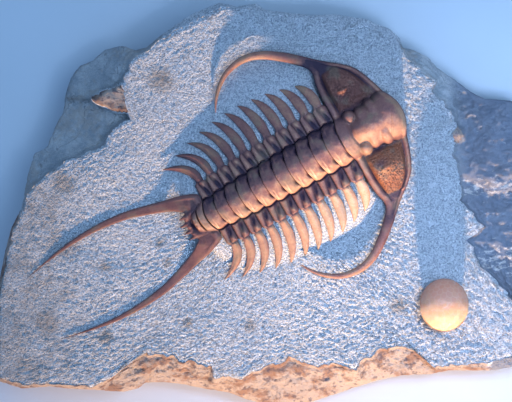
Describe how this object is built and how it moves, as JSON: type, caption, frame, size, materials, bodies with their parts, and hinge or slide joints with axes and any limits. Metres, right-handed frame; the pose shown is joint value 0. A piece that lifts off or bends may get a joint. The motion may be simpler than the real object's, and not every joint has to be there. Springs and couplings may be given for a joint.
{
  "type": "fossil trilobite plate",
  "caption": "Slab of limestone that lies flat, with a long-spined trilobite prepared free of the rock on its face and a ball-shaped cystoid half sunk beside it.",
  "frame": {"origin": "middle of the flat sawn back of the slab, which it rests on", "axes": "+X along the slab's long side to the picture's right, +Y up the slab's face to the picture's top, +Z out of the face towards the viewer"},
  "size_m": [0.244, 0.1826, 0.0503],
  "materials": {
    "limestone": "matt, stippled by the preparator's needle, rough where broken",
    "fossil_shell": "satin brown calcite shell",
    "calcite_plates": "satin, tan"
  },
  "bodies": {
    "root": {"limestone_slab": "limestone", "cystoid": "calcite_plates", "head_shield": "fossil_shell", "thorax_segment_01": "fossil_shell", "thorax_segment_02": "fossil_shell", "thorax_segment_03": "fossil_shell", "thorax_segment_04": "fossil_shell", "thorax_segment_05": "fossil_shell", "thorax_segment_06": "fossil_shell", "thorax_segment_07": "fossil_shell", "thorax_segment_08": "fossil_shell", "thorax_segment_09": "fossil_shell", "thorax_segment_10": "fossil_shell", "thorax_segment_11": "fossil_shell", "tail_shield": "fossil_shell"}
  },
  "joints": []
}
